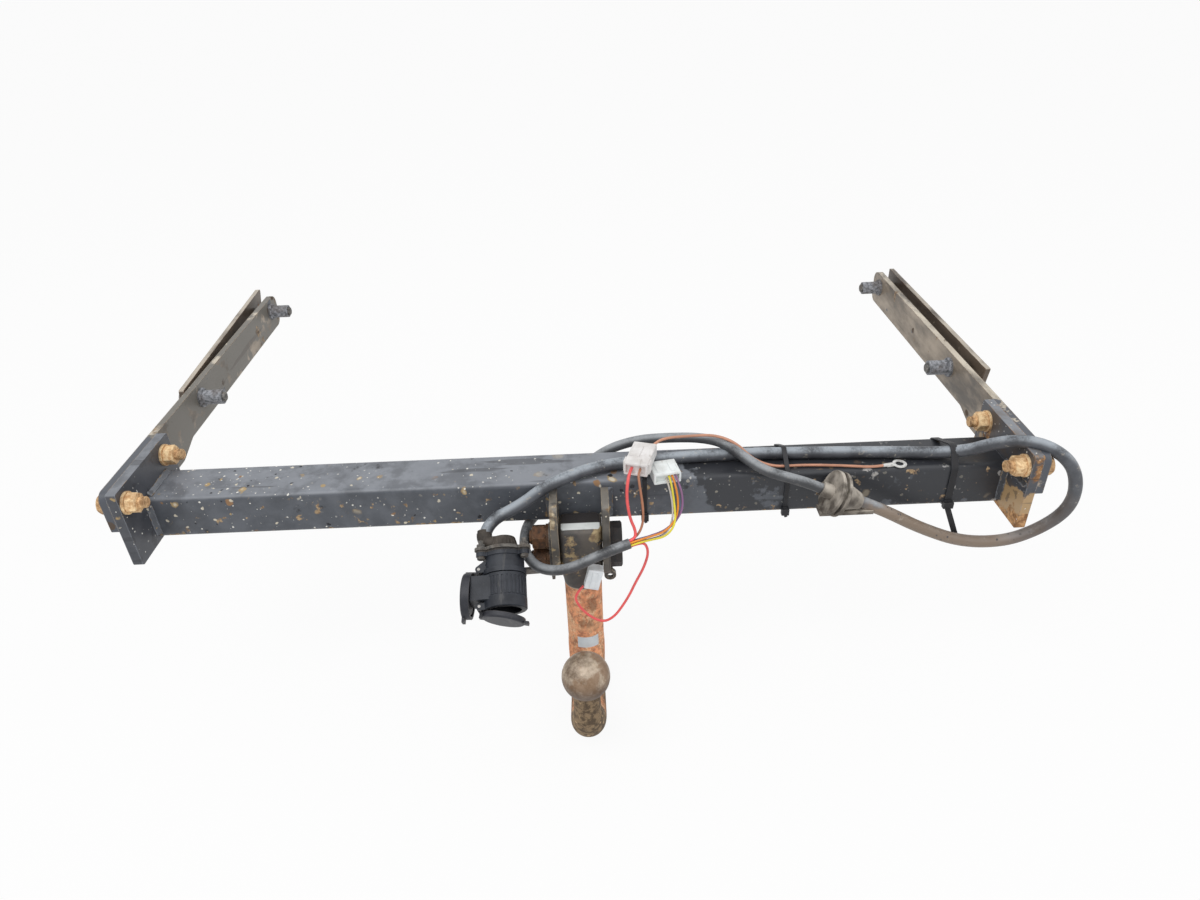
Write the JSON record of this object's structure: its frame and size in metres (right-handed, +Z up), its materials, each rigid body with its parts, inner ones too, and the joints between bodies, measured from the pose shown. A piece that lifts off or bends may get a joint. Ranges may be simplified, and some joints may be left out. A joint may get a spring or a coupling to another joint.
{
  "type": "towbar",
  "caption": "Steel towbar with side arms, swan neck and ball, tilted socket with plugged-in adapter, sprung lids and a loose wiring harness.",
  "frame": {"origin": "middle of the four chassis bolts: halfway between the side arms and between the front and rear bolt of each", "axes": "+X along the crossbar, to the right as seen from the trailer; +Y towards the car; +Z up"},
  "size_m": [1.0409, 0.664, 0.3258],
  "materials": {
    "cross_tube": "worn dark blue-grey paint",
    "end_plate_left": "worn dark paint",
    "end_plate_right": "dark paint, rusty below",
    "welds": "painted weld seams",
    "arms": "dusty brown-grey coat with pale edges",
    "outer_plates": "dark brown, rusty",
    "bolts": "dull, rust in the corners",
    "arm_nuts": "tan surface rust",
    "arm_washers": "surface rust",
    "sleeves": "dark grey",
    "cheeks": "worn paint, rusty edges",
    "swan_neck": "forged steel, painted above and rusty below",
    "neck_fasteners": "rusty",
    "socket_bracket": "dull dark steel",
    "gasket": "black",
    "socket_plastic": "black, dusty",
    "adapter_plastic": "blue-black",
    "lid_plastic": "blue-black, worn rim",
    "insert_plastic": "black",
    "screws": "dull zinc",
    "contacts": "dull brass",
    "hinge_steel": "bright ends",
    "boot_rubber": "brown-grey, dusty",
    "grommet_rubber": "dusty grey",
    "main_sheath": "dark grey, dusty brown on the loop",
    "harness_sheath": "dark grey",
    "connector_left": "aged white",
    "connector_right": "pale grey-green",
    "connector_small": "grey-white",
    "terminal": "tinned",
    "ties": "black nylon",
    "wire_orange": "satin insulation",
    "wire_yellow": "satin insulation",
    "wire_violet": "satin insulation",
    "wire_blue": "satin insulation",
    "wire_white": "satin insulation",
    "wire_red": "satin insulation",
    "wire_brown": "satin insulation",
    "wire_earth": "satin insulation"
  },
  "bodies": {
    "bar": {"cross_tube": "cross_tube", "end_plate_left": "end_plate_left", "end_plate_right": "end_plate_right", "tube_end_welds": "welds", "cheek_welds": "welds", "side_arm_left": "arms", "side_arm_right": "arms", "outer_plate_left": "outer_plates", "outer_plate_right": "outer_plates", "arm_bolts": "bolts", "chassis_bolts": "bolts", "arm_nuts": "arm_nuts", "arm_washers": "arm_washers", "chassis_sleeves": "sleeves", "chassis_collars": "sleeves", "cheek_left": "cheeks", "cheek_right": "cheeks", "breakaway_eye": "cheeks", "swan_neck": "swan_neck", "neck_bolts": "neck_fasteners", "neck_nuts": "neck_fasteners", "neck_washers": "neck_fasteners", "socket_bracket": "socket_bracket", "socket_gasket": "gasket", "socket_housing": "socket_plastic", "socket_insert": "insert_plastic", "socket_screws": "screws", "socket_nuts": "screws", "socket_lid_pin": "hinge_steel", "socket_lid_spring": "hinge_steel", "cable_boot": "boot_rubber", "grommet": "grommet_rubber", "main_cable": "main_sheath", "harness_cable": "harness_sheath", "connector_left": "connector_left", "connector_right": "connector_right", "connector_small": "connector_small", "ring_terminal": "terminal", "tie_left": "ties", "tie_middle": "ties", "tie_right": "ties", "wire_orange": "wire_orange", "wire_yellow": "wire_yellow", "wire_violet": "wire_violet", "wire_blue": "wire_blue", "wire_white": "wire_white", "wire_red_feed": "wire_red", "wire_red_link": "wire_red", "wire_brown": "wire_brown", "wire_earth": "wire_earth"},
    "socket_lid": {"socket_lid": "lid_plastic"},
    "adapter": {"adapter_body": "adapter_plastic", "adapter_insert": "insert_plastic", "adapter_pins": "contacts", "adapter_lid_pin": "hinge_steel", "adapter_lid_spring": "hinge_steel"},
    "adapter_lid": {"adapter_lid": "lid_plastic"}
  },
  "joints": [
    {"name": "socket_lid_hinge", "type": "hinge", "parent": "bar", "child": "socket_lid", "pos_m": [-0.10386, -0.39782, -0.07927], "axis": [0, 0.5446, -0.8387], "range_deg": [0, 12], "stiffness_Nm_per_rad": 0.02, "springref_deg": -93.97},
    {"name": "adapter_slide", "type": "slide", "parent": "bar", "child": "adapter", "axis": [0.0349, -0.8382, -0.5443], "range_m": [0, 0.018]},
    {"name": "adapter_lid_hinge", "type": "hinge", "parent": "adapter", "child": "adapter_lid", "pos_m": [-0.10253, -0.42975, -0.10001], "axis": [0, 0.5446, -0.8387], "range_deg": [-12, 62], "stiffness_Nm_per_rad": 0.000888, "springref_deg": -68.75}
  ]
}
